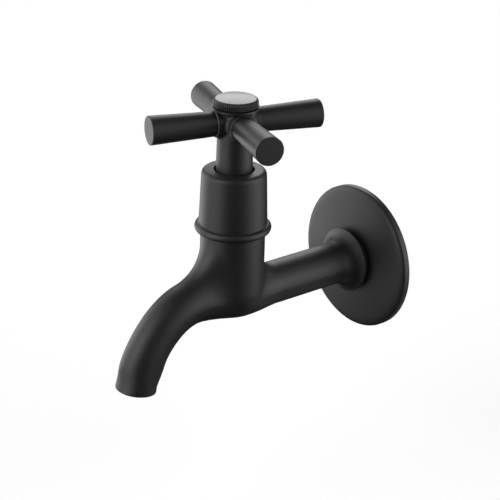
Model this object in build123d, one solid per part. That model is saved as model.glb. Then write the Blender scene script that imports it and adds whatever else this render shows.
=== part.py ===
"""Wall-mounted bib tap with a quarter-turn cross handle.

The tap is a brass casting that screws into a wall outlet. A ceramic-disc
headwork stands in its neck under a tapered cover, and a four-armed cross
handle turns the headwork spindle by a quarter turn.

Units are millimetres. The origin is on the inlet axis at the wall face:
+Y goes into the wall, the tap stands out along -Y, and +Z is up. The valve
axis is vertical, REACH in front of the wall. Most pieces are drawn on the
valve axis, or on the inlet axis, and then put in their place.
"""
from build123d import *
import math
import os

# Main places
REACH = 73.4                # wall face to valve axis
HANDLE_ANGLE = -16.6        # first arm of the closed handle, from straight out, in degrees
SEAT_Z = 9.0                # valve seat above the inlet axis
NECK_TOP = 30.2             # top face of the neck
COVER_TOP = 57.4            # top of the headwork cover
ARM_Z = 77.8                # axis of the handle arms
HUB_BOTTOM = 70.0           # joint of the hub and the neck sleeve
HUB_TOP = 84.4              # face that the index cap sits on

# Clearances between pieces
THREAD_GAP = 0.05           # radial, between threads drawn plain
FIT_GAP = 0.05              # radial, between turning fits
SEAT_GAP = 0.1              # between pieces that slip together and stay put

# Inlet: collar, tube and threaded stub
TUBE_R = 9.25
TUBE_BORE_R = 6.4
STUB_R = 10.48              # half-inch pipe thread, 20.96 over the crests
STUB_LENGTH = 15.0          # beyond the wall face
STUB_CHAMFER = 1.0
RELIEF_R = 9.7              # under the flange, where the thread has run out
THREAD_START = 0.5          # in front of the wall face
COLLAR_R = 14.5
COLLAR_LIP = 0.8            # thickness of the collar at its edge
COLLAR_BACK = 8.9           # back of the lip to the wall face
COLLAR_FLARE = 7.4          # length of the flare in front of the lip
SPIGOT_R = 12.9             # step behind the lip that presses on the flange

# Wall flange
FLANGE_R = 32.5
FLANGE_RIM = 3.8            # height of the rim
FLANGE_ROUND = 0.9
FLANGE_RISE = 2.7           # dome, from the rim to the middle
FLANGE_WALL = 1.3
FLANGE_HOLE_GAP = 0.4       # around the stub

# Neck and belly of the casting
NECK_R = 13.6
BELLY_R = 12.35             # widest section of the run, on the valve axis
BELLY_RISE = 2.64           # its centre above the inlet axis
BELLY_START = 20.0          # where the tube starts to swell, behind the valve axis
BOWL_Z = 5.0                # centre of the round bottom of the neck
SPOUT_BLEND_R = 20.5        # hollow between neck and spout
TUBE_BLEND_R = 9.0          # hollow between neck and tube
NECK_CHAMFER = 0.35

# Spout: a short run, a tight bend, a wide bend and the mouth
SPOUT_RUN = 18.0
SPOUT_TILT = -0.4           # degrees below level at the start
BEND_1_R = 24.2
BEND_1_END = 36.2           # degrees below level
BEND_2_R = 40.8
BEND_2_END = 83.0
SPOUT_THROAT_R = 9.27       # a third of the way along
SPOUT_WAIST_R = 8.83        # two thirds of the way along
SPOUT_MOUTH_R = 9.13
SPOUT_WALL = 2.2
MOUTH_ROUND = 0.75
MOUTH_WALL = 1.7            # around the seat of the flow straightener
STRAIGHTENER_H = 4.0
STRAIGHTENER_INSET = 1.5
CELL = 2.3                  # honeycomb, across the flats
CELL_WEB = 0.5

# Waterways in the neck
CHAMBER_R = 9.3
CHAMBER_TOP = 20.0          # where the headwork thread starts
SEAT_HOLE_R = 4.6
SEAT_WAY_R = 5.6            # inlet bore where it narrows under the seat
SEAT_WAY_START = 15.4       # behind the valve axis
INLET_END = 4.8             # end of the inlet bore, past the valve axis
PARTITION = 2.8             # wall between the inlet bore and the spout bore
LINK_R = 3.4                # passage from the chamber down to the spout
LINK_TOP = 15.5

# Headwork housing
HEAD_THREAD_R = 10.48       # half-inch thread in the neck
COVER_THREAD_R = 12.0
HEAD_FLANGE_H = 4.0
GASKET_H = 1.0
HEX_AF = 19.0
HEX_H = 6.0
CAGE_R = 8.4
CAGE_WALL = 1.1
CAGE_BOTTOM_GAP = 1.0       # cage stands this high over the valve seat
WINDOW_ANGLE = 100.0
GUIDE_R = 7.0
GUIDE_TOP = 49.0

# Discs, seal and stops
SEAL_H = 2.4
SEAL_WALL = 1.2
FIXED_DISC_H = 2.6
TURNING_DISC_H = 3.0
DISC_R = 7.1
PORT_IN_R = 2.0
PORT_OUT_R = 5.6
PORT_ANGLE = 70.0
KEY_W = 2.6                 # keys that hold the fixed disc in the cage
DRIVE_SLOT_W = 3.0
DRIVE_SLOT_H = 1.2
TURN = 90.0                 # travel of the handle, degrees
STOP_LUG_ANGLE = 40.0
STOP_MARGIN = 1.0           # degrees left at each end of the travel

# Spindle
SPINDLE_R = 4.95
STEM_R = 4.0
FOOT_R = 5.8
FOOT_H = 2.0
THRUST_H = 0.8
RING_SECTION_R = 0.85       # spindle O-rings
RING_Z = (26.0, 31.0)
CLIP_H = 0.9
CLIP_R = 6.2
CLIP_DEPTH = 0.8
SPLINE_TEETH = 20
SPLINE_DEPTH = 0.45
SPLINE_TOP = 80.4

# Cover
COVER_FOOT_R = 14.4
COVER_HEAD_R = 13.5
COVER_ROUND = 3.3
COVER_WALL = 1.7
COVER_MOUTH_R = 8.4
BEAD_H = 3.6
BEAD_R = 16.1
COVER_THREAD_TOP = 35.6

# Neck sleeve of the handle
SLEEVE_FOOT_R = 7.75
SLEEVE_HEAD_R = 7.43
SLEEVE_BOTTOM = 50.8
SLEEVE_BORE_R = 6.5
HUB_SPIGOT_H = 3.0

# Handle hub and arms
HUB_R = 7.43
HUB_FLANGE_R = 9.8
HUB_FLANGE_H = 0.8
HUB_FLARE = 2.2
BOSS_R = 5.7
BOSS_REACH = 9.4
BOSS_BLEND = 1.6            # between the bosses and the barrel
CROSS_BLEND = 2.0           # between one boss and the next
BOSS_EDGE = 0.35
ARM_ROOT_R = 5.15
ARM_TIP_R = 6.0
ARM_REACH = 37.0
ARM_EDGE = 0.45
STUD_R = 2.5
STUD_LENGTH = 4.0
STUD_ROOM = 0.2             # beyond the end of the stud
ARM_NAMES = ("arm_left", "arm_front", "arm_right", "arm_back")

# Screw, washer and index cap
RECESS_R = 6.35
RECESS_DEPTH = 3.4
WASHER_R = 5.0
WASHER_H = 0.8
SCREW_R = 2.0
SCREW_LENGTH = 12.0
SCREW_HEAD_R = 3.8
SCREW_HEAD_H = 2.1
DRIVE_W = 0.9
DRIVE_L = 4.4
DRIVE_DEPTH = 1.2
CAP_R = 9.1                 # band, under its fine ridges
CAP_BAND_H = 3.4
CAP_SHOULDER_R = 8.2
CAP_ROUND = 1.3
CAP_GROOVE = 0.3
CAP_RISE = 1.1
CAP_CHAMFER = 0.3
CAP_RING_SECTION_R = 0.5
CAP_SPIGOT_WALL = 1.0
CAP_SPIGOT_H = 2.0

BOTTOM = (Align.CENTER, Align.CENTER, Align.MIN)
HALF_ARC = math.sqrt(0.5)   # sine and cosine of the middle of a quarter round


# Helpers

def on_valve(shape):
    """Puts a shape drawn on the Z axis on the valve axis."""
    return Pos(0, -REACH, 0) * shape


def on_handle(shape):
    """Puts a shape drawn on the Z axis, first arm along -Y, on the closed handle."""
    return Pos(0, -REACH, 0) * Rot(0, 0, HANDLE_ANGLE) * shape


def turned(points):
    """Solid of revolution about Z from (radius, height) points."""
    outline = Polyline(*[(r, 0, z) for r, z in points], close=True)
    return revolve(make_face(outline), Axis.Z)


def rod(radius, z0, z1):
    """Upright cylinder from z0 to z1."""
    return Pos(0, 0, z0) * Cylinder(radius, z1 - z0, align=BOTTOM)


def ring(outer, inner, z0, z1):
    """Upright ring from z0 to z1."""
    return rod(outer, z0, z1) - rod(inner, z0 - 1, z1 + 1)


def sector(radius, angle, z0, z1, middle=0.0):
    """Pie slice about Z, its middle direction turned from +X."""
    half = math.radians(angle / 2)
    reach = radius / math.cos(half / 2)
    points = [(0, 0)]
    for step in (-1, -0.5, 0, 0.5, 1):
        points.append((reach * math.cos(half * step), reach * math.sin(half * step)))
    wedge = extrude(make_face(Polyline(*points, close=True)), z1 - z0)
    return Pos(0, 0, z0) * Rot(0, 0, middle) * wedge & rod(radius, z0, z1)


def toothed(radius, depth, teeth, z0, z1):
    """Upright prism with pointed teeth around it."""
    points = []
    for i in range(teeth):
        for part, r in ((0.0, radius), (0.5, radius - depth)):
            a = 2 * math.pi * (i + part) / teeth
            points.append((r * math.cos(a), r * math.sin(a)))
    return Pos(0, 0, z0) * extrude(make_face(Polyline(*points, close=True)), z1 - z0)


# Spout line

def spout_length():
    bend_1 = BEND_1_R * math.radians(BEND_1_END - SPOUT_TILT)
    bend_2 = BEND_2_R * math.radians(BEND_2_END - BEND_1_END)
    return SPOUT_RUN + bend_1 + bend_2


def spout_station(angle):
    """Distance out, height and length along the spout where it points angle below level."""
    a0, a = math.radians(SPOUT_TILT), math.radians(min(angle, BEND_1_END))
    out = SPOUT_RUN * math.cos(a0) + BEND_1_R * (math.sin(a) - math.sin(a0))
    height = BELLY_RISE - SPOUT_RUN * math.sin(a0) - BEND_1_R * (math.cos(a0) - math.cos(a))
    along = SPOUT_RUN + BEND_1_R * (a - a0)
    if angle > BEND_1_END:
        b0, b = a, math.radians(angle)
        out += BEND_2_R * (math.sin(b) - math.sin(b0))
        height -= BEND_2_R * (math.cos(b0) - math.cos(b))
        along += BEND_2_R * (b - b0)
    return out, height, along


def spout_radius(along):
    """Outside radius: quick taper to the throat, slender waist, slight swell at the mouth."""
    t = 3 * along / spout_length()
    if t < 1:
        return SPOUT_THROAT_R + (BELLY_R - SPOUT_THROAT_R) * (1 - t) ** 1.5
    if t < 2:
        return SPOUT_THROAT_R + (SPOUT_WAIST_R - SPOUT_THROAT_R) * math.sin((t - 1) * math.pi / 2)
    return SPOUT_WAIST_R + (SPOUT_MOUTH_R - SPOUT_WAIST_R) * (1 - math.cos((t - 2) * math.pi / 2))


def spout_disc(out, height, radius, angle):
    """Section of the spout, square to its line."""
    a = math.radians(angle)
    facing = (0, -math.cos(a), -math.sin(a))
    return Plane(origin=(0, -REACH - out, height), x_dir=(1, 0, 0), z_dir=facing) * Circle(radius)


def spout_sections(thinner):
    """Sections from the end of the run to the mouth, thinner than the outside by a wall."""
    angles = [SPOUT_TILT]
    angles += [SPOUT_TILT + (BEND_1_END - SPOUT_TILT) * i / 3 for i in (1, 2, 3)]
    angles += [BEND_1_END + (BEND_2_END - BEND_1_END) * i / 4 for i in (1, 2, 3, 4)]
    sections = []
    for angle in angles:
        out, height, along = spout_station(angle)
        sections.append(spout_disc(out, height, spout_radius(along) - thinner, angle))
    return sections


def mouth_plane():
    """Plane of the spout mouth, facing out of it."""
    out, height, _ = spout_station(BEND_2_END)
    a = math.radians(BEND_2_END)
    return Plane(origin=(0, -REACH - out, height), x_dir=(1, 0, 0),
                 z_dir=(0, -math.cos(a), -math.sin(a)))


# Casting

def run_outside():
    """Belly and spout in one smooth run, from the inlet tube to the mouth."""
    sections = []
    for share in (-0.15, 0.0, 0.3, 0.65):
        w = max(share, 0) ** 2 * (3 - 2 * share)
        radius = TUBE_R + (BELLY_R - TUBE_R) * w
        sections.append(spout_disc(BELLY_START * (share - 1), BELLY_RISE * w * w, radius, 0))
    for along in (0, SPOUT_RUN / 2):
        height = BELLY_RISE - along * math.sin(math.radians(SPOUT_TILT))
        sections.append(spout_disc(along, height, spout_radius(along), 0))
    return loft(sections + spout_sections(0))


def inlet_outside():
    """Tube with its flared collar, the step behind it and the threaded stub."""
    step = COLLAR_R - TUBE_R
    flare_r = (step ** 2 + COLLAR_FLARE ** 2) / (2 * step)
    half = math.asin(COLLAR_FLARE / flare_r) / 2
    front = COLLAR_BACK + COLLAR_LIP
    start = REACH - 1.15 * BELLY_START
    with BuildSketch(Plane.XZ) as profile:
        with BuildLine():
            Polyline((0, start), (TUBE_R, start), (TUBE_R, front + COLLAR_FLARE))
            ThreePointArc((TUBE_R, front + COLLAR_FLARE),
                          (TUBE_R + flare_r * (1 - math.cos(half)),
                           front + COLLAR_FLARE - flare_r * math.sin(half)),
                          (COLLAR_R, front))
            Polyline((COLLAR_R, front), (COLLAR_R, COLLAR_BACK), (SPIGOT_R, COLLAR_BACK),
                     (SPIGOT_R, flange_face()), (RELIEF_R, flange_face()),
                     (RELIEF_R, THREAD_START), (STUB_R, THREAD_START),
                     (STUB_R, STUB_CHAMFER - STUB_LENGTH), (STUB_R - STUB_CHAMFER, -STUB_LENGTH),
                     (0, -STUB_LENGTH), (0, start))
        make_face()
    shape = revolve(profile.sketch, Axis.Z)
    lip = shape.edges().filter_by(GeomType.CIRCLE).filter_by(
        lambda e: abs(e.radius - COLLAR_R) < 0.01)
    shape = fillet(lip, COLLAR_LIP * 0.4)
    return Rot(90, 0, 0) * shape


def flange_face():
    """Distance of the middle of the flange from the wall."""
    return FLANGE_RIM + FLANGE_RISE


def neck_and_run():
    """Neck joined to the run: a wide hollow towards the spout, a tighter one towards the tube."""
    neck = rod(NECK_R, BOWL_Z, NECK_TOP) + Pos(0, 0, BOWL_Z) * Sphere(NECK_R)
    neck = on_valve(neck)
    run = run_outside()
    shape = neck + run
    seam = new_edges(neck, run, combined=shape)
    room = 2 * REACH
    front_half = Pos(0, -REACH - room / 2, 0) * Box(room, room, room)
    back_half = Pos(0, -REACH + room / 2, 0) * Box(room, room, room)
    return (fillet(seam, SPOUT_BLEND_R) & front_half) + (fillet(seam, TUBE_BLEND_R) & back_half)


def body():
    """The casting: outside, then its waterways, seat and thread seats."""
    shape = neck_and_run() + inlet_outside()
    rim = shape.edges().filter_by(GeomType.CIRCLE).sort_by(Axis.Z)
    top = [e for e in rim if abs(e.center().Z - NECK_TOP) < 0.01]
    shape = chamfer(top, NECK_CHAMFER)
    mouth = [e for e in shape.edges() if abs(mouth_plane().to_local_coords(e.center()).Z) < 0.01
             and e.length > 3 * SPOUT_MOUTH_R]
    shape = fillet(mouth, MOUTH_ROUND)
    return shape - waterways()


def waterways():
    """Inlet bore, seat hole, valve chamber, passage down to the spout, and spout bore."""
    narrow = REACH - SEAT_WAY_START
    inlet = Rot(90, 0, 0) * turned([
        (0, -STUB_LENGTH - 1), (TUBE_BORE_R, -STUB_LENGTH - 1), (TUBE_BORE_R, narrow),
        (SEAT_WAY_R, narrow + TUBE_BORE_R - SEAT_WAY_R), (SEAT_WAY_R, REACH + INLET_END),
        (0, REACH + INLET_END)])
    seat = on_valve(rod(SEAT_HOLE_R, 0, SEAT_Z + 1))
    chamber = on_valve(rod(CHAMBER_R, SEAT_Z, CHAMBER_TOP + 0.5))
    thread = on_valve(rod(HEAD_THREAD_R + THREAD_GAP, CHAMBER_TOP, NECK_TOP + 1))
    bore_start = INLET_END + PARTITION
    sections = [spout_disc(bore_start, BELLY_RISE, spout_radius(bore_start) - SPOUT_WALL, 0)]
    spout = loft(sections + spout_sections(SPOUT_WALL))
    link_out = bore_start + LINK_R
    link = Pos(0, -REACH - link_out, 0) * (rod(LINK_R, BELLY_RISE, LINK_TOP - LINK_R)
                                           + Pos(0, 0, LINK_TOP - LINK_R) * Sphere(LINK_R))
    depth = STRAIGHTENER_INSET + STRAIGHTENER_H
    seat_of_straightener = mouth_plane().offset(-depth) * Cylinder(
        straightener_radius() + SEAT_GAP, depth + 5, align=BOTTOM)
    return inlet + seat + chamber + thread + spout + link + seat_of_straightener


def straightener_radius():
    return SPOUT_MOUTH_R - MOUTH_WALL - SEAT_GAP


def flow_straightener():
    """Honeycomb insert that calms the jet, pushed up into the mouth."""
    radius = straightener_radius()
    shape = Cylinder(radius, STRAIGHTENER_H, align=BOTTOM)
    pitch = CELL + CELL_WEB
    cells = Sketch()
    for i in range(-3, 4):
        for j in range(-3, 4):
            x = pitch * (i + j / 2)
            y = pitch * j * math.sqrt(3) / 2
            if math.hypot(x, y) + CELL * 0.6 < radius - CELL_WEB:
                cells += Pos(x, y) * Rot(0, 0, 30) * RegularPolygon(CELL / 2, 6, major_radius=False)
    shape -= Pos(0, 0, -1) * extrude(cells, STRAIGHTENER_H + 2)
    depth = STRAIGHTENER_INSET + STRAIGHTENER_H
    return mouth_plane().offset(-depth) * shape


def wall_flange():
    """Domed shell, open behind, with a rolled edge and a hole for the stub."""
    hole = STUB_R + FLANGE_HOLE_GAP
    face = flange_face()
    rise = FLANGE_RISE
    with BuildSketch(Plane.XZ) as profile:
        with BuildLine():
            Polyline((hole, face), (SPIGOT_R, face))
            ThreePointArc((SPIGOT_R, face),
                          ((SPIGOT_R + FLANGE_R) / 2, FLANGE_RIM + rise * 0.6),
                          (FLANGE_R, FLANGE_RIM))
            Polyline((FLANGE_R, FLANGE_RIM), (FLANGE_R, 0), (FLANGE_R - FLANGE_WALL, 0),
                     (FLANGE_R - FLANGE_WALL, FLANGE_RIM - FLANGE_WALL))
            ThreePointArc((FLANGE_R - FLANGE_WALL, FLANGE_RIM - FLANGE_WALL),
                          ((SPIGOT_R + FLANGE_R) / 2, FLANGE_RIM + rise * 0.6 - FLANGE_WALL),
                          (SPIGOT_R, face - FLANGE_WALL))
            Polyline((SPIGOT_R, face - FLANGE_WALL), (hole, face - FLANGE_WALL), (hole, face))
        make_face()
    shape = revolve(profile.sketch, Axis.Z)
    rim = [e for e in shape.edges().filter_by(GeomType.CIRCLE)
           if abs(e.radius - FLANGE_R) < 0.01 and abs(e.center().Z - FLANGE_RIM) < 0.01]
    return Rot(90, 0, 0) * fillet(rim, FLANGE_ROUND)


# Heights in the headwork

def gasket_top():
    return NECK_TOP + GASKET_H


def disc_plane():
    """Sliding face between the two discs."""
    return SEAT_Z + SEAL_H + FIXED_DISC_H


def foot_bottom():
    """Top of the turning disc, where the foot of the spindle rests on it."""
    return disc_plane() + TURNING_DISC_H


def foot_top():
    return foot_bottom() + FOOT_H


def shoulder_z():
    """Shoulder in the housing that the thrust washer bears on."""
    return foot_top() + THRUST_H


def stem_bottom():
    """Step of the spindle that the hub stands on."""
    return HUB_BOTTOM - HUB_SPIGOT_H


def recess_floor():
    return HUB_TOP - RECESS_DEPTH


# Headwork, fixed pieces

def headwork_housing():
    """Brass bush with cage, stops, thread, flange, hexagon and spindle guide."""
    hex_bottom = gasket_top() + HEAD_FLANGE_H
    hex_top = hex_bottom + HEX_H
    cage_top = CHAMBER_TOP + 0.6
    corner = HEX_AF * 0.62
    shape = rod(CAGE_R, SEAT_Z + CAGE_BOTTOM_GAP, cage_top)
    shape += rod(HEAD_THREAD_R, cage_top, gasket_top())
    shape += rod(COVER_THREAD_R, gasket_top(), hex_bottom)
    hexagon = extrude(RegularPolygon(HEX_AF / 2, 6, major_radius=False), HEX_H)
    crown = turned([(0, hex_bottom), (corner, hex_bottom), (corner, hex_top - 1.3),
                    (HEX_AF / 2 - 0.2, hex_top), (0, hex_top)])
    shape += Pos(0, 0, hex_bottom) * hexagon & crown
    shape += rod(GUIDE_R, hex_top, GUIDE_TOP)
    inside = CAGE_R - CAGE_WALL
    shape -= rod(inside, SEAT_Z, shoulder_z())
    shape -= rod(SPINDLE_R + FIT_GAP, SEAT_Z, GUIDE_TOP + 1)
    stops = ring(inside + CAGE_WALL / 2, FOOT_R + 0.3, foot_bottom() + SEAT_GAP, shoulder_z())
    stop_angle = 180 - TURN - STOP_LUG_ANGLE - 2 * STOP_MARGIN
    stop_middle = STOP_LUG_ANGLE / 2 + TURN + STOP_MARGIN + stop_angle / 2
    for side in (0, 180):
        shape += stops & sector(CAGE_R, stop_angle, SEAT_Z, shoulder_z(), side + stop_middle)
        shape -= sector(CAGE_R + 1, WINDOW_ANGLE, disc_plane() + SEAT_GAP, foot_bottom(), side + 90)
    slot = Box(2 * CAGE_R + 2, KEY_W + 2 * SEAT_GAP, disc_plane() - SEAT_Z, align=BOTTOM)
    shape -= Pos(0, 0, SEAT_Z) * slot
    return on_handle(shape)


def housing_gasket():
    """Flat ring between the neck and the flange of the housing."""
    return on_valve(ring(COVER_THREAD_R - 0.2, HEAD_THREAD_R + SEAT_GAP, NECK_TOP, gasket_top()))


def seat_seal():
    """Rubber ring that carries the fixed disc on the valve seat."""
    outer = CAGE_R - CAGE_WALL - 0.3
    inner = outer - SEAL_WALL
    top = SEAT_Z + SEAL_H
    return on_valve(turned([(inner + 0.3, SEAT_Z), (outer - 0.3, SEAT_Z), (outer, SEAT_Z + 0.5),
                            (outer, top), (inner, top), (inner, SEAT_Z + 0.5)]))


def fixed_disc():
    """Lower ceramic disc with two ports, keyed into the cage."""
    z0, z1 = SEAT_Z + SEAL_H, disc_plane()
    shape = rod(DISC_R, z0, z1)
    key = Box(2 * CAGE_R - 0.4, KEY_W, z1 - z0, align=BOTTOM)
    shape += Pos(0, 0, z0) * key
    for side in (90, 270):
        port = sector(PORT_OUT_R, PORT_ANGLE, z0, z1, side)
        shape -= port - rod(PORT_IN_R, z0, z1)
    return on_handle(shape)


def headwork_cover():
    """Tapered sleeve with a bead at its foot and a round shoulder."""
    foot = NECK_TOP + BEAD_H
    bead = BEAD_H / 2
    taper = (COVER_FOOT_R - COVER_HEAD_R) / (COVER_TOP - foot)
    thread_r = COVER_THREAD_R + THREAD_GAP
    bore_foot = COVER_FOOT_R - COVER_WALL - taper * (COVER_THREAD_TOP - foot)
    bore_top = COVER_TOP - COVER_WALL
    bore_head = COVER_HEAD_R - COVER_WALL
    with BuildSketch(Plane.XZ) as profile:
        with BuildLine():
            Polyline((thread_r, NECK_TOP), (BEAD_R - bead, NECK_TOP))
            ThreePointArc((BEAD_R - bead, NECK_TOP), (BEAD_R, NECK_TOP + bead), (BEAD_R - bead, foot))
            Polyline((BEAD_R - bead, foot), (COVER_FOOT_R, foot), (COVER_HEAD_R, COVER_TOP),
                     (COVER_MOUTH_R, COVER_TOP), (COVER_MOUTH_R, bore_top), (bore_head, bore_top),
                     (bore_foot, COVER_THREAD_TOP), (thread_r, COVER_THREAD_TOP),
                     (thread_r, NECK_TOP))
        make_face()
    shape = revolve(profile.sketch, Axis.Z)
    circles = shape.edges().filter_by(GeomType.CIRCLE)
    shape = fillet([e for e in circles if abs(e.radius - COVER_HEAD_R) < 0.01], COVER_ROUND)
    circles = shape.edges().filter_by(GeomType.CIRCLE)
    shape = fillet([e for e in circles if abs(e.radius - bore_head) < 0.01],
                   COVER_ROUND - COVER_WALL)
    return on_valve(shape)


# Headwork, turning pieces

def turning_disc():
    """Upper ceramic disc: two cut-outs open to its edge and a slot for the spindle."""
    z0, z1 = disc_plane(), foot_bottom()
    shape = rod(DISC_R, z0, z1)
    for side in (0, 180):
        shape -= sector(DISC_R + 1, PORT_ANGLE, z0, z1, side) - rod(PORT_IN_R, z0, z1)
    slot = Box(DRIVE_SLOT_W, 2 * DISC_R + 1, DRIVE_SLOT_H, align=BOTTOM)
    return on_handle(shape - Pos(0, 0, z1 - DRIVE_SLOT_H) * slot)


def spindle():
    """Foot with drive tang and stop lugs, ringed shaft, and splined stem."""
    tang = Box(DRIVE_SLOT_W - 2 * SEAT_GAP, 2 * DISC_R, DRIVE_SLOT_H - SEAT_GAP, align=BOTTOM)
    tang = Pos(0, 0, foot_bottom() - DRIVE_SLOT_H + SEAT_GAP) * tang & rod(FOOT_R, 0, GUIDE_TOP)
    shape = rod(FOOT_R, foot_bottom(), foot_top()) + tang
    lug_r = CAGE_R - CAGE_WALL - 0.3
    for side in (0, 180):
        shape += sector(lug_r, STOP_LUG_ANGLE, foot_bottom() + SEAT_GAP, foot_top(), side)
    shape += rod(SPINDLE_R, foot_top(), stem_bottom())
    shape += toothed(STEM_R, SPLINE_DEPTH, SPLINE_TEETH, stem_bottom(), SPLINE_TOP)
    for z in RING_Z:
        shape -= ring(SPINDLE_R + 1, SPINDLE_R - 2 * RING_SECTION_R,
                      z - RING_SECTION_R - 0.2, z + RING_SECTION_R + 0.2)
    clip_z = GUIDE_TOP + SEAT_GAP
    shape -= ring(SPINDLE_R + 1, SPINDLE_R - CLIP_DEPTH, clip_z, clip_z + CLIP_H + SEAT_GAP)
    shape -= rod(SCREW_R + THREAD_GAP, recess_floor() + WASHER_H - SCREW_LENGTH - 0.5, SPLINE_TOP + 1)
    return on_handle(shape)


def spindle_rings():
    """The two O-rings of the spindle."""
    rings = [Pos(0, -REACH, z) * Torus(SPINDLE_R - RING_SECTION_R, RING_SECTION_R) for z in RING_Z]
    return Compound(children=rings)


def thrust_washer():
    return on_valve(ring(FOOT_R, SPINDLE_R + SEAT_GAP, foot_top(), shoulder_z()))


def spindle_clip():
    """Open ring in the groove above the guide, which keeps the spindle from dropping."""
    z0 = GUIDE_TOP + SEAT_GAP
    shape = ring(CLIP_R, SPINDLE_R - CLIP_DEPTH + THREAD_GAP, z0, z0 + CLIP_H)
    gap = Pos(0, CLIP_R, z0) * Box(2.4, 2 * CLIP_R, 3 * CLIP_H)
    return on_handle(shape - gap)


# Handle

def neck_sleeve():
    """Tapered sleeve under the hub, which covers the top of the headwork."""
    return on_valve(turned([(SLEEVE_BORE_R, SLEEVE_BOTTOM), (SLEEVE_FOOT_R, SLEEVE_BOTTOM),
                            (SLEEVE_HEAD_R, HUB_BOTTOM), (SLEEVE_BORE_R, HUB_BOTTOM)]))


def handle_hub():
    """Barrel with a flared top, four bosses for the arms and a splined bore."""
    under = HUB_TOP - HUB_FLANGE_H
    boss = Pos(0, 0, ARM_Z) * Rot(90, 0, 0) * Cylinder(BOSS_R, BOSS_REACH, align=BOTTOM)
    cross = boss + [Rot(0, 0, turn) * boss for turn in (90, 180, 270)]
    cross = fillet(cross.edges().filter_by(GeomType.ELLIPSE), CROSS_BLEND)
    barrel = rod(HUB_R, HUB_BOTTOM, under)
    shape = barrel + cross
    shape = fillet(new_edges(barrel, cross, combined=shape), BOSS_BLEND)
    ends = [e for e in shape.edges().filter_by(GeomType.CIRCLE) if abs(e.radius - BOSS_R) < 0.01
            and abs(e.center().Z - ARM_Z) < BOSS_R + 0.1]
    shape = chamfer(ends, BOSS_EDGE)
    with BuildSketch(Plane.XZ) as profile:
        with BuildLine():
            Polyline((0, under - HUB_FLARE), (HUB_R, under - HUB_FLARE))
            ThreePointArc((HUB_R, under - HUB_FLARE),
                          (HUB_R + HUB_FLARE * (1 - HALF_ARC), under - HUB_FLARE * (1 - HALF_ARC)),
                          (HUB_R + HUB_FLARE, under))
            Polyline((HUB_R + HUB_FLARE, under), (HUB_FLANGE_R, under), (HUB_FLANGE_R, HUB_TOP),
                     (0, HUB_TOP), (0, under - HUB_FLARE))
        make_face()
    shape += revolve(profile.sketch, Axis.Z)
    shape += rod(SLEEVE_BORE_R - SEAT_GAP, stem_bottom(), HUB_BOTTOM)
    shape -= rod(RECESS_R, recess_floor(), HUB_TOP + 1)
    shape -= toothed(STEM_R + SEAT_GAP, SPLINE_DEPTH, SPLINE_TEETH, stem_bottom() - 1, HUB_TOP)
    hole = Pos(0, 0, ARM_Z) * Rot(90, 0, 0) * rod(
        STUD_R + THREAD_GAP, BOSS_REACH - STUD_LENGTH - STUD_ROOM, BOSS_REACH + 1)
    for turn in (0, 90, 180, 270):
        shape -= Rot(0, 0, turn) * hole
    return on_handle(shape)


def arm(number):
    """Round arm, slightly thicker at its tip, with the stud that screws into its boss."""
    shape = turned([(0, BOSS_REACH - STUD_LENGTH), (STUD_R, BOSS_REACH - STUD_LENGTH),
                    (STUD_R, BOSS_REACH), (ARM_ROOT_R, BOSS_REACH), (ARM_TIP_R, ARM_REACH),
                    (0, ARM_REACH)])
    tip = [e for e in shape.edges().filter_by(GeomType.CIRCLE) if abs(e.radius - ARM_TIP_R) < 0.01]
    shape = fillet(tip, ARM_EDGE)
    return on_handle(Pos(0, 0, ARM_Z) * Rot(0, 0, 90 * number) * Rot(90, 0, 0) * shape)


def screw_washer():
    return on_valve(ring(WASHER_R, SCREW_R + SEAT_GAP, recess_floor(), recess_floor() + WASHER_H))


def handle_screw():
    """Pan-head screw with a cross recess, up through the washer into the stem."""
    seat = recess_floor() + WASHER_H
    head = rod(SCREW_HEAD_R, seat, seat + SCREW_HEAD_H)
    head = fillet(head.edges().sort_by(Axis.Z)[-1], SCREW_HEAD_H * 0.4)
    shape = head + rod(SCREW_R, seat - SCREW_LENGTH, seat)
    for turn in (0, 90):
        slot = Rot(0, 0, turn) * Box(DRIVE_W, DRIVE_L, 2 * DRIVE_DEPTH)
        shape -= Pos(0, 0, seat + SCREW_HEAD_H) * slot
    return on_handle(shape)


def cap_spigot_r():
    return RECESS_R - 2 * CAP_RING_SECTION_R - THREAD_GAP


def index_cap():
    """Cap with a round-shouldered band, a low dome and a spigot for its ring."""
    top = HUB_TOP + CAP_BAND_H
    dome_r = CAP_SHOULDER_R - CAP_GROOVE
    with BuildSketch(Plane.XZ) as profile:
        with BuildLine():
            Polyline((0, HUB_TOP), (CAP_R - CAP_CHAMFER, HUB_TOP), (CAP_R, HUB_TOP + CAP_CHAMFER),
                     (CAP_R, top - CAP_ROUND))
            ThreePointArc((CAP_R, top - CAP_ROUND),
                          (CAP_SHOULDER_R + (CAP_R - CAP_SHOULDER_R) * HALF_ARC,
                           top - CAP_ROUND * (1 - HALF_ARC)),
                          (CAP_SHOULDER_R, top))
            Polyline((CAP_SHOULDER_R, top), (0, top), (0, HUB_TOP))
        make_face()
    band = revolve(profile.sketch, Axis.Z)
    band -= ring(CAP_SHOULDER_R, dome_r, top - CAP_GROOVE, top + 1)
    with BuildSketch(Plane.XZ) as dome_profile:
        with BuildLine():
            Polyline((0, top - CAP_GROOVE), (dome_r, top - CAP_GROOVE), (dome_r, top))
            ThreePointArc((dome_r, top), (dome_r / 2, top + CAP_RISE * 0.75), (0, top + CAP_RISE))
            Polyline((0, top + CAP_RISE), (0, top - CAP_GROOVE))
        make_face()
    shape = band + revolve(dome_profile.sketch, Axis.Z)
    spigot_r = cap_spigot_r()
    shape += ring(spigot_r, spigot_r - CAP_SPIGOT_WALL, HUB_TOP - CAP_SPIGOT_H, HUB_TOP)
    return on_handle(shape)


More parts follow.
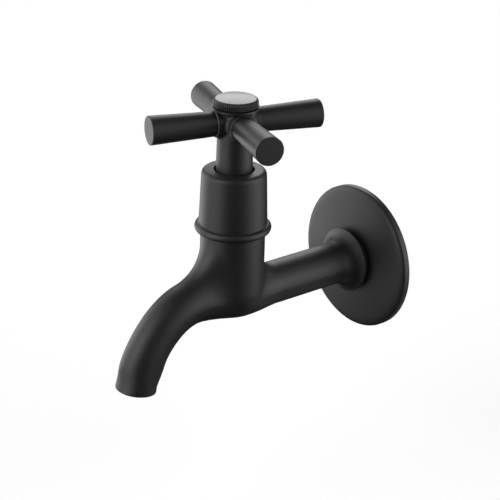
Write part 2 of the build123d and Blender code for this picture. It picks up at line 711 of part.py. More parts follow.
def cap_ring():
    """Rubber ring that grips the cap in its recess."""
    middle = cap_spigot_r() + CAP_RING_SECTION_R
    z = HUB_TOP - CAP_SPIGOT_H / 2
    return Pos(0, -REACH, z) * Torus(middle, CAP_RING_SECTION_R - THREAD_GAP / 2)


def pieces():
    """Every piece of the tap by name."""
    made = {
        "body": body(),
        "flow_straightener": flow_straightener(),
        "wall_flange": wall_flange(),
        "headwork_housing": headwork_housing(),
        "housing_gasket": housing_gasket(),
        "headwork_cover": headwork_cover(),
        "seat_seal": seat_seal(),
        "fixed_disc": fixed_disc(),
        "turning_disc": turning_disc(),
        "thrust_washer": thrust_washer(),
        "spindle": spindle(),
        "spindle_rings": spindle_rings(),
        "spindle_clip": spindle_clip(),
        "neck_sleeve": neck_sleeve(),
        "handle_hub": handle_hub(),
        "screw_washer": screw_washer(),
        "handle_screw": handle_screw(),
        "cap_ring": cap_ring(),
        "index_cap": index_cap(),
    }
    for number, name in enumerate(ARM_NAMES):
        made[name] = arm(number)
    return made


if __name__ == "__main__":
    os.makedirs("parts", exist_ok=True)
    for name, shape in pieces().items():
        export_step(shape, f"parts/{name}.step")
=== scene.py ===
"""Finish and stage for a wall-mounted bib tap in satin black.

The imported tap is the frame. Turned pieces are swept again with finer edges, the
casting gets its cut inlet thread, and every piece gets its finish. The tap
stands in a white room with soft panels. Lengths are in metres, in the tap's own
frame: +Y into the wall, +Z up, valve axis vertical.
"""

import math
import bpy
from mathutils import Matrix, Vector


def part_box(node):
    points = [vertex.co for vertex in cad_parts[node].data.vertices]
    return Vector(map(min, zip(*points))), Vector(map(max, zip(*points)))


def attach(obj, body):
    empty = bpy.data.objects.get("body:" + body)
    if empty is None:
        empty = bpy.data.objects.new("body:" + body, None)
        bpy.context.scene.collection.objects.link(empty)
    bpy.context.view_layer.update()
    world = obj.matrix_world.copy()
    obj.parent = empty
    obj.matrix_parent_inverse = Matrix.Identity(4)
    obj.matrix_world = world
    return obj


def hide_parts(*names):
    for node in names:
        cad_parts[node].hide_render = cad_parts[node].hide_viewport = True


bl_info = {
    "name": "Wall Bib Tap",
    "version": (1, 0, 0),
    "blender": (4, 5, 0),
    "location": "View3D > Sidebar > Bib Tap",
    "description": "Finish, turned pieces and studio for a wall-mounted bib tap",
    "category": "Object",
}

import bmesh
import bpy
from bpy.props import FloatProperty, FloatVectorProperty, IntProperty, PointerProperty
from mathutils import Matrix, Vector

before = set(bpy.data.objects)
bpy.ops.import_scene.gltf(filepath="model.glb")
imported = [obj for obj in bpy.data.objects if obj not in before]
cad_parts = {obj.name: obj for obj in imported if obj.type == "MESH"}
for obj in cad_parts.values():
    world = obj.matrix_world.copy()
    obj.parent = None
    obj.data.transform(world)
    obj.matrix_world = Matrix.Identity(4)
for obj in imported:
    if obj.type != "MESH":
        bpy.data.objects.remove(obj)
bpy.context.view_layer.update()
MM = 0.001


def middle(node):
    """Centre of a node's box."""
    low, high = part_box(node)
    return (low + high) / 2


def height(node, side):
    """Lowest (side 0) or highest (side 1) point of a node."""
    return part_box(node)[side].z


def half_width(node):
    """Half of a node's width along X."""
    low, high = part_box(node)
    return (high.x - low.x) / 2


VALVE = Vector((0, middle("headwork_cover").y, 0))
ARM_NODES = ("arm_left", "arm_front", "arm_right", "arm_back")
ARM_Z = middle("arm_left").z
HANDLE_ANGLE = math.radians(-16.6)  # first arm of the closed handle, from straight out


# Sizes and colours that a user may change

class FlangeSizes(bpy.types.PropertyGroup):
    radius: FloatProperty(
        name="Radius", description="Outside radius of the wall flange",
        default=half_width("wall_flange"), unit="LENGTH")
    rim: FloatProperty(
        name="Rim", description="Height of the rim below the dome",
        default=3.8 * MM, unit="LENGTH")
    rise: FloatProperty(
        name="Rise", description="Height of the dome above the rim",
        default=2.7 * MM, unit="LENGTH")
    wall: FloatProperty(
        name="Wall", description="Thickness of the shell", default=1.3 * MM, unit="LENGTH")
    hole: FloatProperty(
        name="Hole", description="Radius of the hole for the inlet",
        default=10.88 * MM, unit="LENGTH")
    step: FloatProperty(
        name="Flat", description="Radius of the flat under the collar",
        default=12.9 * MM, unit="LENGTH")
    edge: FloatProperty(
        name="Edge", description="How far the outer edge rounds over into the dome",
        default=4.0 * MM, unit="LENGTH")


class CoverSizes(bpy.types.PropertyGroup):
    foot: FloatProperty(
        name="Foot", description="Radius just above the bead",
        default=14.4 * MM, unit="LENGTH")
    head: FloatProperty(
        name="Head", description="Radius at the top", default=13.5 * MM, unit="LENGTH")
    bead: FloatProperty(
        name="Bead", description="Height of the bead", default=3.6 * MM, unit="LENGTH")
    shoulder: FloatProperty(
        name="Shoulder", description="Roundness of the shoulder", default=3.3 * MM, unit="LENGTH")
    mouth: FloatProperty(
        name="Mouth", description="Radius of the opening for the handle",
        default=8.4 * MM, unit="LENGTH")
    wall: FloatProperty(
        name="Wall", description="Thickness of the cover", default=1.7 * MM, unit="LENGTH")


class ArmSizes(bpy.types.PropertyGroup):
    root: FloatProperty(
        name="Root", description="Radius of an arm at its boss", default=5.15 * MM, unit="LENGTH")
    tip: FloatProperty(
        name="Tip", description="Radius of an arm at its end", default=6.0 * MM, unit="LENGTH")
    start: FloatProperty(
        name="Start", description="Distance of the arm's root from the valve axis",
        default=9.4 * MM, unit="LENGTH")
    reach: FloatProperty(
        name="Reach", description="Distance of the arm's end from the valve axis",
        default=37.0 * MM, unit="LENGTH")
    edge: FloatProperty(
        name="Edge", description="Roundness of the arm's end", default=0.45 * MM, unit="LENGTH")


class CapSizes(bpy.types.PropertyGroup):
    radius: FloatProperty(
        name="Radius", description="Radius over the ridges of the band",
        default=9.36 * MM, unit="LENGTH")
    band: FloatProperty(
        name="Band", description="Height of the ridged band", default=3.5 * MM, unit="LENGTH")
    edge: FloatProperty(
        name="Edge", description="Roundness between the band and the dome",
        default=1.6 * MM, unit="LENGTH")
    rise: FloatProperty(
        name="Rise", description="Height of the dome above the band",
        default=0.5 * MM, unit="LENGTH")
    ridges: IntProperty(
        name="Ridges", description="Number of ridges around the band", default=64, min=12, max=160)
    depth: FloatProperty(
        name="Ridge depth", description="Depth of the ridges", default=0.45 * MM, unit="LENGTH")


class ThreadSizes(bpy.types.PropertyGroup):
    crest: FloatProperty(
        name="Crest", description="Radius over the thread", default=10.48 * MM, unit="LENGTH")
    root: FloatProperty(
        name="Root", description="Radius at the bottom of the thread",
        default=9.32 * MM, unit="LENGTH")
    pitch: FloatProperty(
        name="Pitch", description="Distance from one crest to the next",
        default=1.814 * MM, unit="LENGTH")
    length: FloatProperty(
        name="Length", description="Length of the thread behind the wall face",
        default=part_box("body")[1].y, unit="LENGTH")


class FinishValues(bpy.types.PropertyGroup):
    coat: FloatVectorProperty(
        name="Coat", description="Colour of the black coat", subtype="COLOR", size=3,
        default=(0.0098, 0.0107, 0.0100), min=0, max=1)
    coat_roughness: FloatProperty(
        name="Coat roughness", description="0 is a mirror and 1 is chalk",
        default=0.48, min=0, max=1)
    cap_roughness: FloatProperty(
        name="Cap roughness", description="The cap shines more than the rest",
        default=0.24, min=0, max=1)
    grain: FloatProperty(
        name="Grain", description="Strength of the coat's fine grain", default=0.4, min=0, max=1)


class StudioValues(bpy.types.PropertyGroup):
    drop: FloatProperty(
        name="Floor", description="Height of the floor", default=-0.11, unit="LENGTH")
    left: FloatProperty(
        name="Left", description="Strength of the white panels on the left", default=2.0, min=0)
    right: FloatProperty(
        name="Right", description="Strength of the white panels on the right", default=1.95, min=0)
    back: FloatProperty(
        name="Back", description="Strength of the white panel behind the tap", default=2.2, min=0)
    room: FloatProperty(
        name="Room", description="Strength of the dim room between the panels", default=0.02, min=0)


# Fineness of the meshes

SIDE_SHARE = 0.49      # a rounded corner takes at most this share of a side
ROUND_STEPS = 10       # steps that a corner gets for half a circle of its turn
SPARE_STEPS = 2        # and steps that every corner gets besides
LEAST_STEPS = 3
GRID_SEAM = 1e-6       # points of a swept grid that become one
SEAM = 1e-7            # points of a swept mesh that become one
SLIVER = 1e-8          # edges that are too short to keep
CAD_SEAM = 2e-6        # points of a frame mesh that become one
FACE_WEIGHT = 80       # pull of broad faces on the shading of fine ones


# Profiles

def rounded(corners, closed):
    """Points (r, z, cut) through corners (r, z, radius), rounded and with no ridges cut."""
    points = []
    count = len(corners)
    for i, (r, z, radius) in enumerate(corners):
        here = Vector((r, z))
        inner = closed or 0 < i < count - 1
        if radius <= 0 or not inner:
            points.append((r, z, 0.0))
            continue
        before = Vector(corners[i - 1][:2]) - here
        after = Vector(corners[(i + 1) % count][:2]) - here
        reach = min(before.length, after.length) * SIDE_SHARE
        turn = before.angle(after)
        back = min(radius / math.tan(turn / 2), reach)
        start = here + before.normalized() * back
        end = here + after.normalized() * back
        steps = max(LEAST_STEPS, int(ROUND_STEPS * (math.pi - turn) / math.pi) + SPARE_STEPS)
        for k in range(steps + 1):
            t = k / steps
            a = start.lerp(here, t)
            b = here.lerp(end, t)
            p = a.lerp(b, t)
            points.append((p.x, p.y, 0.0))
    return points


def arc(start, through, end, steps):
    """Points on the arc from start through a middle point to end."""
    ax, ay = start
    bx, by = through
    cx, cy = end
    d = 2 * (ax * (by - cy) + bx * (cy - ay) + cx * (ay - by))
    ux = ((ax * ax + ay * ay) * (by - cy) + (bx * bx + by * by) * (cy - ay)
          + (cx * cx + cy * cy) * (ay - by)) / d
    uy = ((ax * ax + ay * ay) * (cx - bx) + (bx * bx + by * by) * (ax - cx)
          + (cx * cx + cy * cy) * (bx - ax)) / d
    radius = math.hypot(ax - ux, ay - uy)
    a0 = math.atan2(ay - uy, ax - ux)
    a1 = math.atan2(by - uy, bx - ux)
    a2 = math.atan2(cy - uy, cx - ux)
    turn = (a2 - a0) % (2 * math.pi)
    if (a1 - a0) % (2 * math.pi) > turn:
        turn -= 2 * math.pi
    angles = [a0 + turn * i / steps for i in range(steps + 1)]
    return [(ux + radius * math.cos(angle), uy + radius * math.sin(angle)) for angle in angles]


def round_over(start, through, end, steps):
    """Points on a smooth bend from start to end that leans towards a corner."""
    a, b, c = Vector(start), Vector(through), Vector(end)
    points = []
    for i in range(steps + 1):
        t = i / steps
        points.append(tuple(a.lerp(b, t).lerp(b.lerp(c, t), t)))
    return points


def corner(r, z, radius=0.0):
    """Corner of a profile, with the radius that rounds it."""
    return (r, z, radius)


# Node trees

def link(tree, source, target):
    tree.links.new(source, target)


def math_node(tree, operation, a, b=None):
    """Math node with numbers or sockets as inputs. Returns its output."""
    node = tree.nodes.new("ShaderNodeMath")
    node.operation = operation
    for slot_index, value in enumerate((a, b)):
        if value is None:
            continue
        if isinstance(value, (int, float)):
            node.inputs[slot_index].default_value = value
        else:
            link(tree, value, node.inputs[slot_index])
    return node.outputs[0]


def turned_shape_tree():
    """Sweeps a profile round Z. Ridges or a thread are cut where the profile's cut value is 1.

    Flat is the share of a ridge that keeps the full radius.
    """
    tree = bpy.data.node_groups.new("turned_shape", "GeometryNodeTree")
    tree.interface.new_socket("Profile", in_out="INPUT", socket_type="NodeSocketGeometry")
    numbers = (("Segments", "NodeSocketInt", 160), ("Starts", "NodeSocketInt", 1),
               ("Pitch", "NodeSocketFloat", 0.0), ("Depth", "NodeSocketFloat", 0.0),
               ("Flat", "NodeSocketFloat", 0.0))
    for name, kind, default in numbers:
        socket = tree.interface.new_socket(name, in_out="INPUT", socket_type=kind)
        socket.default_value = default
    tree.interface.new_socket("Material", in_out="INPUT", socket_type="NodeSocketMaterial")
    tree.interface.new_socket("Geometry", in_out="OUTPUT", socket_type="NodeSocketGeometry")
    given = tree.nodes.new("NodeGroupInput")
    count = tree.nodes.new("GeometryNodeAttributeDomainSize")
    link(tree, given.outputs["Profile"], count.inputs[0])
    rows = count.outputs["Point Count"]
    grid = tree.nodes.new("GeometryNodeMeshGrid")
    link(tree, math_node(tree, "ADD", given.outputs["Segments"], 1), grid.inputs["Vertices X"])
    link(tree, rows, grid.inputs["Vertices Y"])
    index = tree.nodes.new("GeometryNodeInputIndex").outputs[0]
    safe_index = math_node(tree, "ADD", index, 0.5)    # rounds down to the right row
    around = math_node(tree, "FLOOR", math_node(tree, "DIVIDE", safe_index, rows))
    along = math_node(tree, "SUBTRACT", index, math_node(tree, "MULTIPLY", around, rows))
    share = math_node(tree, "DIVIDE", around, given.outputs["Segments"])
    angle = math_node(tree, "MULTIPLY", share, 2 * math.pi)

    def sampled(kind, value):
        node = tree.nodes.new("GeometryNodeSampleIndex")
        node.data_type = kind
        link(tree, given.outputs["Profile"], node.inputs["Geometry"])
        link(tree, value, node.inputs["Value"])
        link(tree, along, node.inputs["Index"])
        return node.outputs[0]

    position = tree.nodes.new("GeometryNodeInputPosition")
    place = tree.nodes.new("ShaderNodeSeparateXYZ")
    link(tree, sampled("FLOAT_VECTOR", position.outputs[0]), place.inputs[0])
    cut = tree.nodes.new("GeometryNodeInputNamedAttribute")
    cut.data_type = "FLOAT"
    cut.inputs["Name"].default_value = "cut"
    weight = sampled("FLOAT", cut.outputs["Attribute"])
    radius, level = place.outputs["X"], place.outputs["Z"]
    turns = math_node(tree, "MULTIPLY", share, given.outputs["Starts"])
    climb = math_node(tree, "MULTIPLY", level, given.outputs["Pitch"])
    wave = math_node(tree, "PINGPONG", math_node(tree, "SUBTRACT", turns, climb), 0.5)
    flat = given.outputs["Flat"]
    past_flat = math_node(tree, "SUBTRACT", math_node(tree, "MULTIPLY", wave, 2.0), flat)
    below = math_node(tree, "MAXIMUM", past_flat, 0.0)
    share_down = math_node(tree, "DIVIDE", below, math_node(tree, "SUBTRACT", 1.0, flat))
    groove = math_node(tree, "MULTIPLY", share_down, given.outputs["Depth"])
    final = math_node(tree, "SUBTRACT", radius, math_node(tree, "MULTIPLY", groove, weight))
    spot = tree.nodes.new("ShaderNodeCombineXYZ")
    across = math_node(tree, "MULTIPLY", final, math_node(tree, "COSINE", angle))
    aside = math_node(tree, "MULTIPLY", final, math_node(tree, "SINE", angle))
    link(tree, across, spot.inputs["X"])
    link(tree, aside, spot.inputs["Y"])
    link(tree, level, spot.inputs["Z"])
    move = tree.nodes.new("GeometryNodeSetPosition")
    link(tree, grid.outputs["Mesh"], move.inputs["Geometry"])
    link(tree, spot.outputs[0], move.inputs["Position"])
    merge = tree.nodes.new("GeometryNodeMergeByDistance")
    merge.inputs["Distance"].default_value = GRID_SEAM
    link(tree, move.outputs[0], merge.inputs["Geometry"])
    real = tree.nodes.new("GeometryNodeRealizeInstances")
    link(tree, merge.outputs[0], real.inputs[0])
    paint = tree.nodes.new("GeometryNodeSetMaterial")
    link(tree, real.outputs[0], paint.inputs["Geometry"])
    link(tree, given.outputs["Material"], paint.inputs["Material"])
    out = tree.nodes.new("NodeGroupOutput")
    link(tree, paint.outputs[0], out.inputs[0])
    return tree


def turned(name, profile, material, place, closed, segments,
           starts=1, pitch=0.0, depth=0.0, flat=0.0):
    """Plain mesh object swept from a profile by the turned_shape tree, put in its place."""
    tree = bpy.data.node_groups.get("turned_shape") or turned_shape_tree()
    points = [(r, 0, z) for r, z, _ in profile]
    cuts = [c for _, _, c in profile]
    if closed:
        points.append(points[0])
        cuts.append(cuts[0])
    line = bpy.data.meshes.new(name + "_profile")
    line.from_pydata(points, [(i, i + 1) for i in range(len(points) - 1)], [])
    line.attributes.new("cut", "FLOAT", "POINT").data.foreach_set("value", cuts)
    piece = bpy.data.objects.new(name, line)
    bpy.context.scene.collection.objects.link(piece)
    modifier = piece.modifiers.new("turned", "NODES")
    modifier.node_group = tree
    values = {"Segments": segments, "Starts": starts, "Pitch": pitch, "Depth": depth,
              "Flat": flat, "Material": material}
    for item in tree.interface.items_tree:
        if item.item_type == "SOCKET" and item.in_out == "INPUT" and item.name in values:
            modifier[item.identifier] = values[item.name]
    depsgraph = bpy.context.evaluated_depsgraph_get()
    mesh = bpy.data.meshes.new_from_object(piece.evaluated_get(depsgraph))
    piece.modifiers.clear()
    piece.data = mesh
    mesh.name = name
    mesh.materials.clear()
    mesh.materials.append(material)
    settle(mesh, place)
    weigh_normals(piece)
    return piece


def settle(mesh, place):
    """Closes a swept mesh, turns its faces outwards and puts it in its place."""
    work = bmesh.new()
    work.from_mesh(mesh)
    bmesh.ops.remove_doubles(work, verts=work.verts, dist=SEAM)
    bmesh.ops.dissolve_degenerate(work, edges=work.edges, dist=SLIVER)
    bmesh.ops.recalc_face_normals(work, faces=work.faces)
    work.to_mesh(mesh)
    work.free()
    mesh.transform(place)
    mesh.shade_smooth()


def weigh_normals(piece):
    """Lets broad faces set the shading of the fine rounds beside them."""
    modifier = piece.modifiers.new("weighted", "WEIGHTED_NORMAL")
    modifier.keep_sharp = True
    modifier.weight = FACE_WEIGHT
    depsgraph = bpy.context.evaluated_depsgraph_get()
    mesh = bpy.data.meshes.new_from_object(piece.evaluated_get(depsgraph))
    piece.modifiers.clear()
    piece.data = mesh


def upright():
    """Place of a piece swept round the valve axis."""
    return Matrix.Translation(VALVE)


def from_wall():
    """Place of a piece swept round the inlet axis, its heights counted out from the wall."""
    return Matrix.Rotation(math.pi / 2, 4, "X")


def arm_place(number):
    """Place of an arm, its heights counted out from the valve axis."""
    hub = Matrix.Translation(VALVE + Vector((0, 0, ARM_Z)))
    turn = Matrix.Rotation(HANDLE_ANGLE + number * math.pi / 2, 4, "Z")
    return hub @ turn @ Matrix.Rotation(math.pi / 2, 4, "X")


def merged_copy(node, name, change):
    """Closed copy of a node's mesh with its own shading, each point moved by a function."""
    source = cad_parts[node].data
    normals = [tuple(n.vector) for n in source.corner_normals]
    starts = [(p.loop_start, p.loop_total) for p in source.polygons]
    mesh = source.copy()
    mesh.name = name
    work = bmesh.new()
    work.from_mesh(mesh)
    origin = work.faces.layers.int.new("origin")
    for face in work.faces:
        face[origin] = face.index
    bmesh.ops.remove_doubles(work, verts=work.verts, dist=CAD_SEAM)
    for vert in work.verts:
        vert.co = change(vert.co)
    work.to_mesh(mesh)
    work.free()
    faces = [0] * len(mesh.polygons)
    mesh.attributes["origin"].data.foreach_get("value", faces)
    kept = []
    for polygon, face in zip(mesh.polygons, faces):
        first, total = starts[face]
        if total == polygon.loop_total:
            kept.extend(normals[first:first + total])
        else:
            kept.extend([tuple(polygon.normal)] * polygon.loop_total)
    mesh.attributes.remove(mesh.attributes["origin"])
    mesh.normals_split_custom_set(kept)
    piece = bpy.data.objects.new(name, mesh)
    bpy.context.scene.collection.objects.link(piece)
    return piece


# Shader groups and finishes. Scales are in noise cells per metre.

SLOW_SCALE = 60.0                   # slow change of tone over a coat
SLOW_RING_SCALE = 90.0              # and over turned metal
GRAIN_IN_TONE = 0.25                # share of the fine grain that shows in the colour
RING_SQUEEZE = (0.01, 0.01, 1.0)    # draws the noise out into rings round Z
FINISH_OUTPUTS = (("Colour", "NodeSocketColor"), ("Roughness", "NodeSocketFloat"),
                  ("Height", "NodeSocketFloat"))


def shader_group(name, inputs, outputs):
    """Empty shader group with its sockets. Returns the tree and its two end nodes."""
    tree = bpy.data.node_groups.new(name, "ShaderNodeTree")
    for label, kind, value in inputs:
        socket = tree.interface.new_socket(label, in_out="INPUT", socket_type=kind)
        if value is not None:
            socket.default_value = value
    for label, kind in outputs:
        tree.interface.new_socket(label, in_out="OUTPUT", socket_type=kind)
    return tree, tree.nodes.new("NodeGroupInput"), tree.nodes.new("NodeGroupOutput")


def noise(tree, vector, scale, detail):
    node = tree.nodes.new("ShaderNodeTexNoise")
    node.inputs["Detail"].default_value = detail
    link(tree, vector, node.inputs["Vector"])
    if isinstance(scale, (int, float)):
        node.inputs["Scale"].default_value = scale
    else:
        link(tree, scale, node.inputs["Scale"])
    return node.outputs[0]


def spread(tree, middle_value, amount, field):
    """middle_value plus amount times a field centred on a half."""
    centred = math_node(tree, "SUBTRACT", field, 0.5)
    return math_node(tree, "ADD", middle_value, math_node(tree, "MULTIPLY", centred, amount))


def scaled_colour(tree, colour, factor):
    node = tree.nodes.new("ShaderNodeVectorMath")
    node.operation = "SCALE"
    link(tree, colour, node.inputs[0])
    link(tree, factor, node.inputs["Scale"])
    return node.outputs[0]


def surface_grain():
    """Fine grain of a sprayed coat or a moulded surface, with slow change of tone."""
    found = bpy.data.node_groups.get("surface_grain")
    if found:
        return found
    tree, given, out = shader_group("surface_grain", (
        ("Vector", "NodeSocketVector", None),
        ("Colour", "NodeSocketColor", (0.5, 0.5, 0.5, 1)),
        ("Tone spread", "NodeSocketFloat", 0.2),
        ("Roughness", "NodeSocketFloat", 0.4),
        ("Roughness spread", "NodeSocketFloat", 0.1),
        ("Grain scale", "NodeSocketFloat", 4000.0),
    ), FINISH_OUTPUTS)
    slow = noise(tree, given.outputs["Vector"], SLOW_SCALE, detail=3.0)
    fine = noise(tree, given.outputs["Vector"], given.outputs["Grain scale"], detail=2.0)
    tone = spread(tree, 1.0, given.outputs["Tone spread"], slow)
    tone = spread(tree, tone, GRAIN_IN_TONE, fine)
    link(tree, scaled_colour(tree, given.outputs["Colour"], tone), out.inputs["Colour"])
    rough = spread(tree, given.outputs["Roughness"], given.outputs["Roughness spread"], slow)
    rough = spread(tree, rough, given.outputs["Roughness spread"], fine)
    link(tree, rough, out.inputs["Roughness"])
    link(tree, fine, out.inputs["Height"])
    return tree


def turning_marks():
    """Fine rings that a lathe leaves, stacked along Z, with slow change of tone."""
    found = bpy.data.node_groups.get("turning_marks")
    if found:
        return found
    tree, given, out = shader_group("turning_marks", (
        ("Vector", "NodeSocketVector", None),
        ("Colour", "NodeSocketColor", (0.7, 0.5, 0.25, 1)),
        ("Tone spread", "NodeSocketFloat", 0.2),
        ("Roughness", "NodeSocketFloat", 0.3),
        ("Roughness spread", "NodeSocketFloat", 0.15),
        ("Ring scale", "NodeSocketFloat", 2500.0),
    ), FINISH_OUTPUTS)
    squeeze = tree.nodes.new("ShaderNodeVectorMath")
    squeeze.operation = "MULTIPLY"
    squeeze.inputs[1].default_value = RING_SQUEEZE
    link(tree, given.outputs["Vector"], squeeze.inputs[0])
    rings = noise(tree, squeeze.outputs[0], given.outputs["Ring scale"], detail=3.0)
    slow = noise(tree, given.outputs["Vector"], SLOW_RING_SCALE, detail=3.0)
    tone = spread(tree, 1.0, given.outputs["Tone spread"], slow)
    tone = spread(tree, tone, given.outputs["Tone spread"], rings)
    link(tree, scaled_colour(tree, given.outputs["Colour"], tone), out.inputs["Colour"])
    rough = spread(tree, given.outputs["Roughness"], given.outputs["Roughness spread"], rings)
    link(tree, rough, out.inputs["Roughness"])
    link(tree, rings, out.inputs["Height"])
    return tree


def finish(name, group, colour, metallic, bump, distance, **values):
    """Material whose colour, roughness and relief come from a shader group."""
    found = bpy.data.materials.get(name)
    if found:
        return found
    material = bpy.data.materials.new(name)
    material.use_nodes = True
    material.diffuse_color = (*colour, 1)
    tree = material.node_tree
    shader = tree.nodes["Principled BSDF"]
    shader.inputs["Metallic"].default_value = metallic
    node = tree.nodes.new("ShaderNodeGroup")
    node.node_tree = group()
    coordinates = tree.nodes.new("ShaderNodeTexCoord")
    link(tree, coordinates.outputs["Object"], node.inputs["Vector"])
    node.inputs["Colour"].default_value = (*colour, 1)
    for label, value in values.items():
        node.inputs[label.replace("_", " ").capitalize()].default_value = value
    link(tree, node.outputs["Colour"], shader.inputs["Base Color"])
    link(tree, node.outputs["Roughness"], shader.inputs["Roughness"])
    relief = tree.nodes.new("ShaderNodeBump")
    relief.inputs["Strength"].default_value = bump
    relief.inputs["Distance"].default_value = distance
    link(tree, node.outputs["Height"], relief.inputs["Height"])
    link(tree, relief.outputs[0], shader.inputs["Normal"])
    return material


def black_coat():
    values = bpy.context.scene.tap_finish
    return finish("satin_black_coat", surface_grain, colour=tuple(values.coat), metallic=0.0,
                  bump=values.grain, distance=0.06 * MM, tone_spread=0.3,
                  roughness=values.coat_roughness, roughness_spread=0.12, grain_scale=3200.0)


def cap_enamel():
    values = bpy.context.scene.tap_finish
    return finish("gloss_black_enamel", surface_grain, colour=tuple(values.coat), metallic=0.0,
                  bump=0.03, distance=0.03 * MM, tone_spread=0.2,
                  roughness=values.cap_roughness, roughness_spread=0.05, grain_scale=3200.0)


def machined_brass():
    return finish("machined_brass", turning_marks, colour=(0.72, 0.50, 0.22), metallic=1.0,
                  bump=0.12, distance=0.03 * MM, tone_spread=0.15,
                  roughness=0.28, roughness_spread=0.16, ring_scale=2600.0)


def stainless_steel():
    return finish("stainless_steel", turning_marks, colour=(0.58, 0.58, 0.60), metallic=1.0,
                  bump=0.10, distance=0.03 * MM, tone_spread=0.12,
                  roughness=0.26, roughness_spread=0.14, ring_scale=3000.0)


def lapped_ceramic():
    return finish("lapped_ceramic", surface_grain, colour=(0.83, 0.82, 0.78), metallic=0.0,
                  bump=0.03, distance=0.02 * MM, tone_spread=0.05,
                  roughness=0.2, roughness_spread=0.06, grain_scale=5000.0)


def seal_rubber():
    return finish("seal_rubber", surface_grain, colour=(0.02, 0.02, 0.021), metallic=0.0,
                  bump=0.2, distance=0.04 * MM, tone_spread=0.3,
                  roughness=0.62, roughness_spread=0.12, grain_scale=3500.0)


def grey_plastic():
    return finish("grey_plastic", surface_grain, colour=(0.20, 0.21, 0.22), metallic=0.0,
                  bump=0.15, distance=0.04 * MM, tone_spread=0.12,
                  roughness=0.5, roughness_spread=0.1, grain_scale=3500.0)


def white_plastic():
    return finish("white_plastic", surface_grain, colour=(0.78, 0.78, 0.75), metallic=0.0,
                  bump=0.15, distance=0.04 * MM, tone_spread=0.06,
                  roughness=0.45, roughness_spread=0.1, grain_scale=3500.0)


def coat_piece(piece, body, *nodes):
    """A black-coated piece: rides on its body and stands for its nodes."""
    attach(piece, body)
    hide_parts(*nodes)
    return piece


def finish_nodes(material, *nodes):
    """Gives frame nodes their finish and leaves their shape."""
    for name in nodes:
        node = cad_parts[name]
        node.material_slots[0].link = "DATA"
        node.material_slots[0].material = material


# Operators. The lengths above each one are those that its size group leaves out.

THREAD_FRONT = -0.5 * MM    # where the thread starts, counted along +Y from the wall face
TURNED_FROM = -0.6 * MM     # where the casting is turned down for it
CORE_GAP = 0.1 * MM         # the casting stays this far under the thread's root
THREAD_DIP = 0.15 * MM      # the thread's ends reach this far under its root
THREAD_LEAD_IN = 1.2 * MM   # chamfer at the thread's end
THREAD_RUN_OUT = 1.6 * MM   # length over which it fades towards the flange
THREAD_ROWS = 150
THREAD_FLAT = 0.12          # share of the pitch that stays flat at the crest


class TAP_OT_casting(bpy.types.Operator):
    """Casting with its inlet turned down for the thread"""
    bl_idname = "tap.casting"
    bl_label = "Casting"

    def execute(self, context):
        sizes = context.scene.tap_thread
        core = sizes.root - CORE_GAP

        def turned_down(point):
            radius = math.hypot(point.x, point.z)
            if point.y <= TURNED_FROM or radius <= sizes.root:
                return point
            share = core / radius
            return Vector((point.x * share, point.y, point.z * share))

        piece = merged_copy("body", "casting", turned_down)
        piece.data.materials.clear()
        piece.data.materials.append(black_coat())
        coat_piece(piece, "tap", "body")
        return {"FINISHED"}


class TAP_OT_inlet_thread(bpy.types.Operator):
    """Pipe thread cut on the inlet behind the wall face"""
    bl_idname = "tap.inlet_thread"
    bl_label = "Inlet thread"

    def execute(self, context):
        sizes = context.scene.tap_thread
        depth = sizes.crest - sizes.root
        start, end = THREAD_FRONT, sizes.length
        profile = [(sizes.root - THREAD_DIP, -start, 0)]
        for i in range(THREAD_ROWS + 1):
            level = start + (end - start) * i / THREAD_ROWS
            lead_in = min(1.0, (end - level) / THREAD_LEAD_IN)
            run_out = min(1.0, (level - start) / THREAD_RUN_OUT)
            radius = sizes.crest - depth * (1 - lead_in)
            cut = min(lead_in, run_out) if radius > sizes.root else 0
            profile.append((radius, -level, cut))
        profile.append((sizes.root - THREAD_DIP, -end, 0))
        piece = turned("inlet_thread", profile, black_coat(), from_wall(), closed=True,
                       segments=128, pitch=-1 / sizes.pitch, depth=depth, flat=THREAD_FLAT)
        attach(piece, "tap")
        return {"FINISHED"}


CROWN_SHARE = 0.6           # share of the dome's rise that is reached halfway out
BEND_END = 0.62             # share of the rim's height where the rounded edge ends


class TAP_OT_wall_flange(bpy.types.Operator):
    """Domed wall flange with its rim"""
    bl_idname = "tap.wall_flange"
    bl_label = "Wall flange"

    def execute(self, context):
        sizes = context.scene.tap_flange
        face = sizes.rim + sizes.rise
        half = (sizes.step + sizes.radius) / 2
        crown = sizes.rim + sizes.rise * CROWN_SHARE
        inside = sizes.radius - sizes.wall

        def shell_side(outer, drop):
            """Dome and its rounded edge at one face of the sheet."""
            dome = arc((sizes.step, face - drop), (half, crown - drop), (outer, sizes.rim - drop),
                       steps=40)
            dome = [p for p in dome if p[0] < outer - sizes.edge]
            slope = (dome[-1][1] - dome[-2][1]) / (dome[-1][0] - dome[-2][0])
            tip = (outer, dome[-1][1] + slope * (outer - dome[-1][0]))
            end = (outer, (sizes.rim - drop) * BEND_END)
            return dome[:-1] + round_over(dome[-1], tip, end, steps=16)

        corners = [corner(sizes.hole, face, radius=0.15 * MM)]
        corners += [corner(r, z) for r, z in shell_side(sizes.radius, 0)]
        corners += [corner(sizes.radius, 0, radius=0.25 * MM), corner(inside, 0, radius=0.2 * MM)]
        corners += [corner(r, z) for r, z in reversed(shell_side(inside, sizes.wall))]
        corners += [corner(sizes.hole, face - sizes.wall, radius=0.15 * MM)]
        piece = turned("wall_flange_shell", rounded(corners, closed=True), black_coat(),
                       from_wall(), closed=True, segments=224)
        coat_piece(piece, "tap", "wall_flange")
        return {"FINISHED"}


COVER_THREAD = 12.05 * MM     # radius of the cover's thread, drawn plain
COVER_THREAD_TOP = 5.4 * MM   # where it ends, above the cover's foot
COVER_STEP = 0.1 * MM         # step above the bead, and inside above the thread


